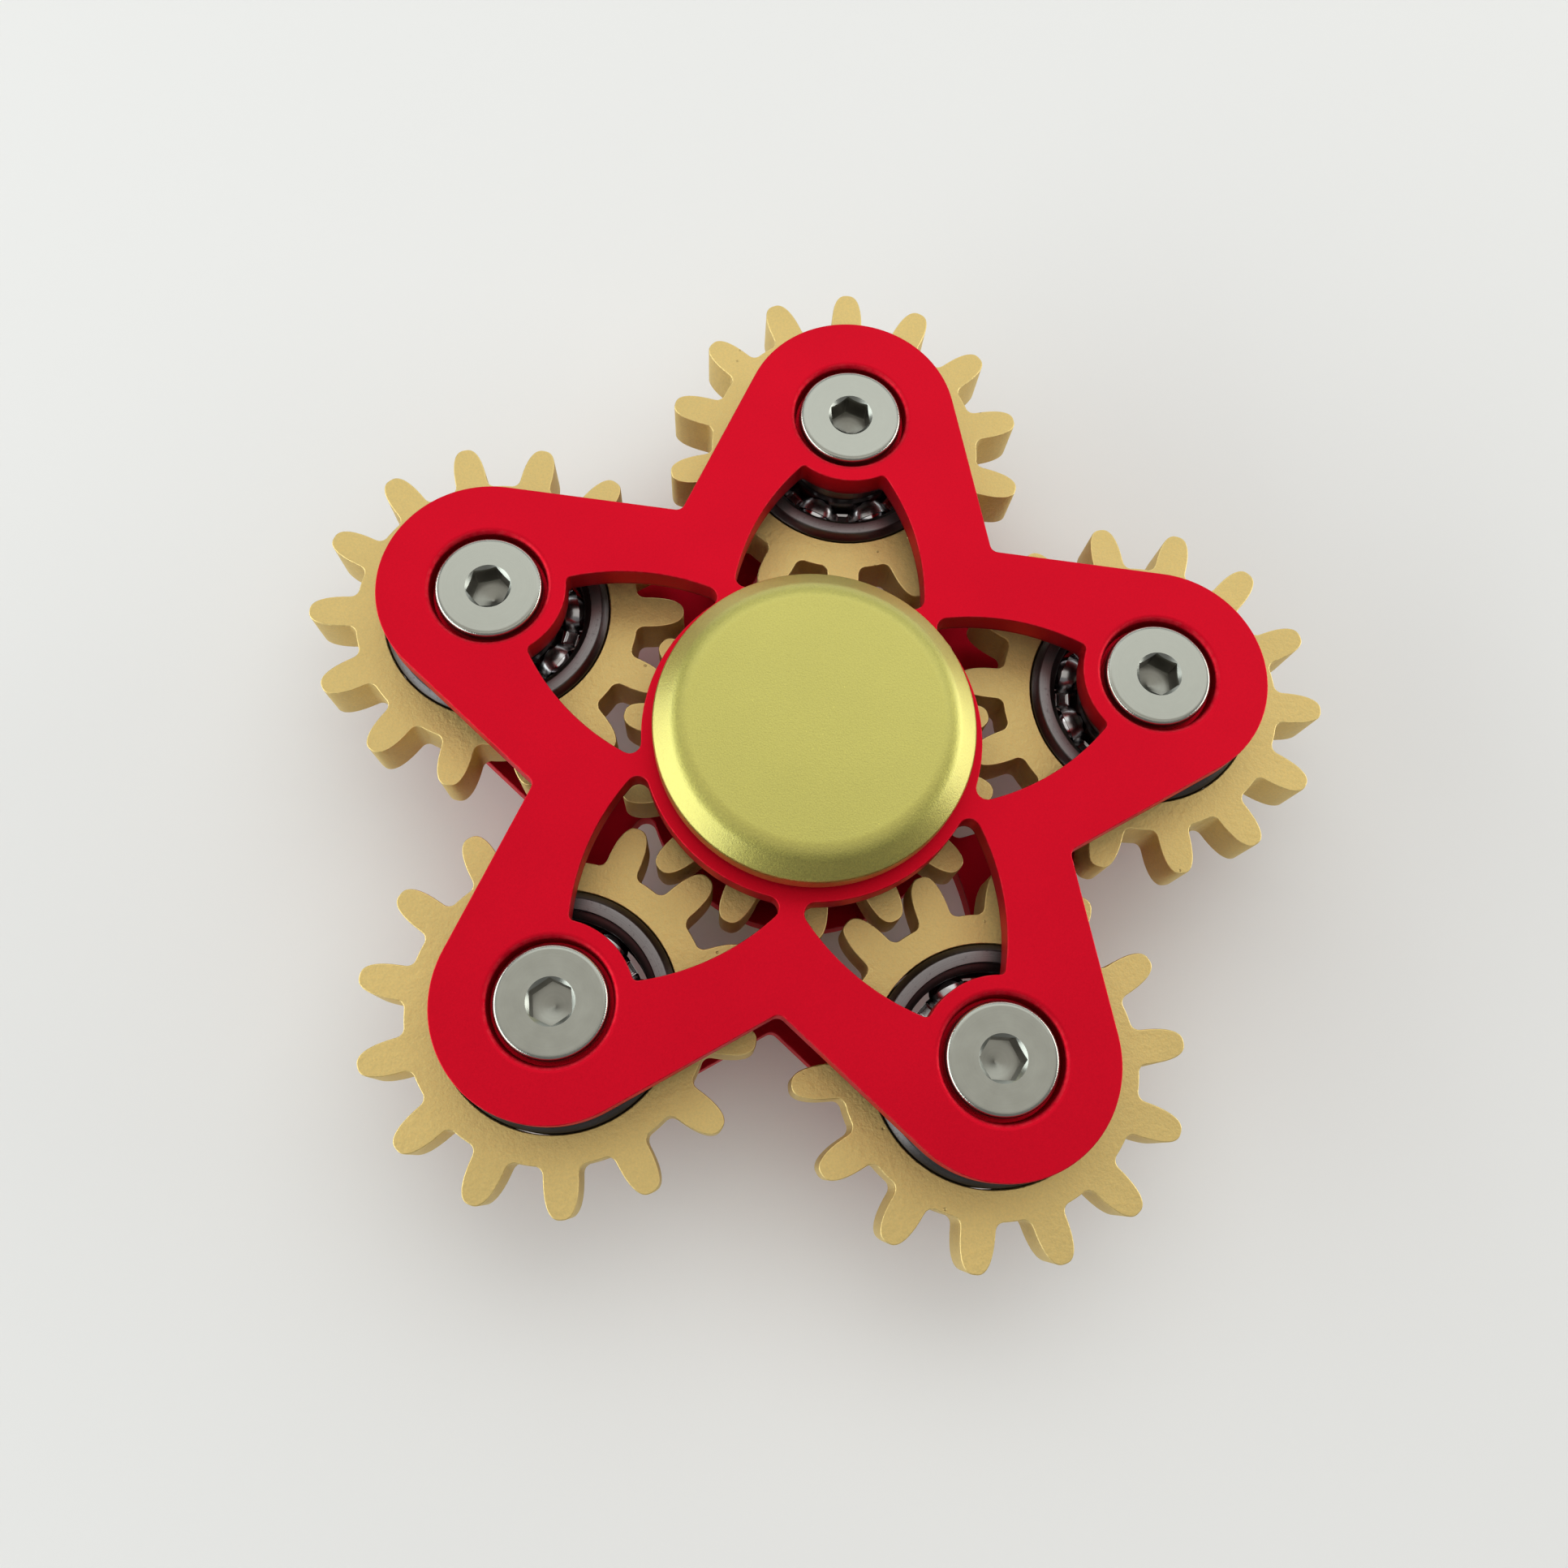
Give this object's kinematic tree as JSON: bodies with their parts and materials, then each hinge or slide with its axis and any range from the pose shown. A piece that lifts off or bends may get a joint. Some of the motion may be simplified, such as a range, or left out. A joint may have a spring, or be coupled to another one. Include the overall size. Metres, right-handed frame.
{
  "type": "gear linkage fidget spinner",
  "caption": "Star-shaped hand spinner whose meshed gears ride on bearings at the arm tips, between two plates and two finger caps.",
  "frame": {"origin": "centre of the rear cap's flat outer face, the face the spinner rests on", "axes": "+Z along the spin axis from the rear cap to the front cap; +Y along arm 1; +X completes the right-handed frame"},
  "size_m": [0.0731, 0.0709, 0.0201],
  "materials": {
    "red_plate": "satin bead-blasted red anodised aluminium",
    "gold_cap": "matte pale gold anodised aluminium",
    "brass_gear": "bead-blasted pale brass",
    "stainless": "turned stainless steel with polished edges",
    "bearing_ring": "ground bearing steel",
    "cage_and_balls": "polished balls in a pressed steel cage"
  },
  "bodies": {
    "grip": {"front_cap": "gold_cap", "rear_cap": "gold_cap", "centre_axle": "stainless", "front_hub_spacer": "stainless", "rear_hub_spacer": "stainless", "sun_bearing_inner_ring": "bearing_ring"},
    "sun": {"sun_gear": "brass_gear", "sun_bearing_outer_ring": "bearing_ring"},
    "sun_cage": {"sun_bearing_cage": "cage_and_balls"},
    "frame": {"front_plate": "red_plate", "rear_plate": "red_plate", "screw_1": "stainless", "sleeve_1": "stainless", "front_spacer_1": "stainless", "rear_spacer_1": "stainless", "screw_2": "stainless", "sleeve_2": "stainless", "front_spacer_2": "stainless", "rear_spacer_2": "stainless", "screw_3": "stainless", "sleeve_3": "stainless", "front_spacer_3": "stainless", "rear_spacer_3": "stainless", "screw_4": "stainless", "sleeve_4": "stainless", "front_spacer_4": "stainless", "rear_spacer_4": "stainless", "screw_5": "stainless", "sleeve_5": "stainless", "front_spacer_5": "stainless", "rear_spacer_5": "stainless", "planet_1_bearing_inner_ring": "bearing_ring", "planet_2_bearing_inner_ring": "bearing_ring", "planet_3_bearing_inner_ring": "bearing_ring", "planet_4_bearing_inner_ring": "bearing_ring", "planet_5_bearing_inner_ring": "bearing_ring"},
    "planet_1": {"planet_1_gear": "brass_gear", "planet_1_bearing_outer_ring": "bearing_ring"},
    "planet_1_cage": {"planet_1_bearing_cage": "cage_and_balls"},
    "planet_2": {"planet_2_gear": "brass_gear", "planet_2_bearing_outer_ring": "bearing_ring"},
    "planet_2_cage": {"planet_2_bearing_cage": "cage_and_balls"},
    "planet_3": {"planet_3_gear": "brass_gear", "planet_3_bearing_outer_ring": "bearing_ring"},
    "planet_3_cage": {"planet_3_bearing_cage": "cage_and_balls"},
    "planet_4": {"planet_4_gear": "brass_gear", "planet_4_bearing_outer_ring": "bearing_ring"},
    "planet_4_cage": {"planet_4_bearing_cage": "cage_and_balls"},
    "planet_5": {"planet_5_gear": "brass_gear", "planet_5_bearing_outer_ring": "bearing_ring"},
    "planet_5_cage": {"planet_5_bearing_cage": "cage_and_balls"}
  },
  "joints": [
    {"name": "sun_spin", "type": "hinge", "parent": "grip", "child": "sun", "pos_m": [0, 0, 0.01005], "axis": [0, 0, 1], "continuous": true},
    {"name": "frame_orbit", "type": "hinge", "parent": "sun", "child": "frame", "pos_m": [0, 0, 0.01005], "axis": [0, 0, 1], "continuous": true},
    {"name": "sun_cage_spin", "type": "hinge", "parent": "grip", "child": "sun_cage", "pos_m": [0, 0, 0.01005], "axis": [0, 0, 1], "continuous": true},
    {"name": "planet_1_spin", "type": "hinge", "parent": "frame", "child": "planet_1", "pos_m": [0, 0.0245, 0.01005], "axis": [0, 0, 1], "continuous": true},
    {"name": "planet_1_cage_spin", "type": "hinge", "parent": "frame", "child": "planet_1_cage", "pos_m": [0, 0.0245, 0.01005], "axis": [0, 0, 1], "continuous": true},
    {"name": "planet_2_spin", "type": "hinge", "parent": "frame", "child": "planet_2", "pos_m": [-0.0233, 0.00757, 0.01005], "axis": [0, 0, 1], "continuous": true},
    {"name": "planet_2_cage_spin", "type": "hinge", "parent": "frame", "child": "planet_2_cage", "pos_m": [-0.0233, 0.00757, 0.01005], "axis": [0, 0, 1], "continuous": true},
    {"name": "planet_3_spin", "type": "hinge", "parent": "frame", "child": "planet_3", "pos_m": [-0.0144, -0.01982, 0.01005], "axis": [0, 0, 1], "continuous": true},
    {"name": "planet_3_cage_spin", "type": "hinge", "parent": "frame", "child": "planet_3_cage", "pos_m": [-0.0144, -0.01982, 0.01005], "axis": [0, 0, 1], "continuous": true},
    {"name": "planet_4_spin", "type": "hinge", "parent": "frame", "child": "planet_4", "pos_m": [0.0144, -0.01982, 0.01005], "axis": [0, 0, 1], "continuous": true},
    {"name": "planet_4_cage_spin", "type": "hinge", "parent": "frame", "child": "planet_4_cage", "pos_m": [0.0144, -0.01982, 0.01005], "axis": [0, 0, 1], "continuous": true},
    {"name": "planet_5_spin", "type": "hinge", "parent": "frame", "child": "planet_5", "pos_m": [0.0233, 0.00757, 0.01005], "axis": [0, 0, 1], "continuous": true},
    {"name": "planet_5_cage_spin", "type": "hinge", "parent": "frame", "child": "planet_5_cage", "pos_m": [0.0233, 0.00757, 0.01005], "axis": [0, 0, 1], "continuous": true}
  ],
  "couplings": [
    {"joint": "sun_cage_spin", "follows": "sun_spin", "ratio": 0.6323},
    {"joint": "planet_1_spin", "follows": "frame_orbit", "ratio": 1},
    {"joint": "planet_1_cage_spin", "follows": "frame_orbit", "ratio": 0.6323},
    {"joint": "planet_2_spin", "follows": "frame_orbit", "ratio": 1},
    {"joint": "planet_2_cage_spin", "follows": "frame_orbit", "ratio": 0.6323},
    {"joint": "planet_3_spin", "follows": "frame_orbit", "ratio": 1},
    {"joint": "planet_3_cage_spin", "follows": "frame_orbit", "ratio": 0.6323},
    {"joint": "planet_4_spin", "follows": "frame_orbit", "ratio": 1},
    {"joint": "planet_4_cage_spin", "follows": "frame_orbit", "ratio": 0.6323},
    {"joint": "planet_5_spin", "follows": "frame_orbit", "ratio": 1},
    {"joint": "planet_5_cage_spin", "follows": "frame_orbit", "ratio": 0.6323}
  ]
}
